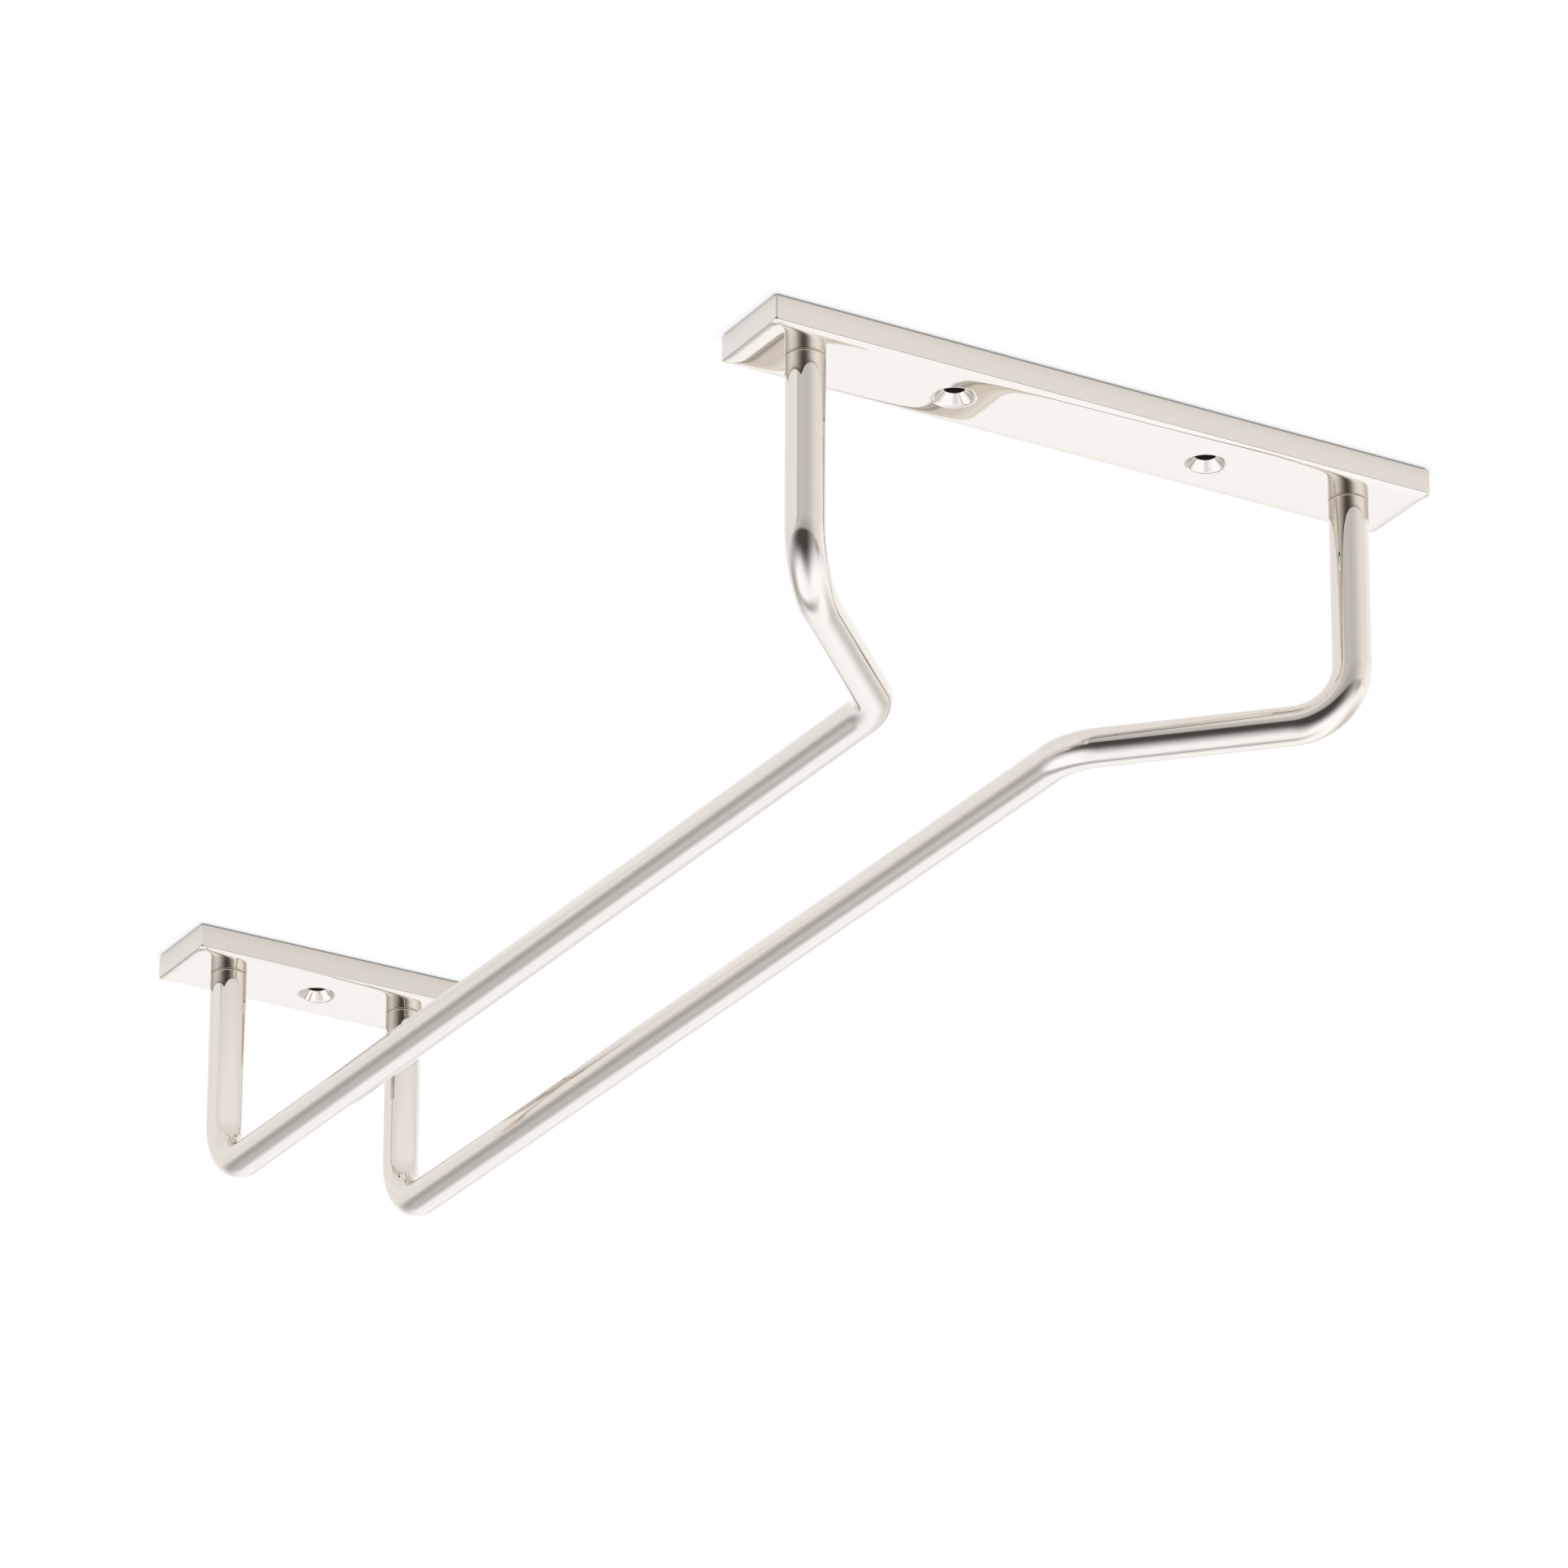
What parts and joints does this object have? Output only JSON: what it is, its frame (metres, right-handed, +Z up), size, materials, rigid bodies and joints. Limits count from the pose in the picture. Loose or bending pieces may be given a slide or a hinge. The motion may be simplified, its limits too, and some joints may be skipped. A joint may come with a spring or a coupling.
{
  "type": "hanging wine glass rack",
  "caption": "Under-shelf stemware rack: bent round rods form parallel rails with a flared mouth and hang from bar plates; wine glasses slide in and hang by their feet.",
  "frame": {"origin": "middle of the front plate's top face, which lies against the shelf", "axes": "+X to the right of someone facing the rack, +Y from the front plate to the back plate along the rails, +Z up into the shelf"},
  "size_m": [0.177, 0.405, 0.0677],
  "materials": {
    "nickel_plate": "polished nickel plating, mirror bright, warm tint",
    "nickel_rod": "polished nickel plating on round bar, mirror bright, warm tint",
    "screw_steel": "bright zinc plating on steel, machined"
  },
  "bodies": {
    "root": {"front_plate": "nickel_plate", "back_plate": "nickel_plate", "left_rod": "nickel_rod", "right_rod": "nickel_rod", "front_left_screw": "screw_steel", "front_right_screw": "screw_steel", "back_left_screw": "screw_steel", "back_right_screw": "screw_steel"}
  },
  "joints": []
}
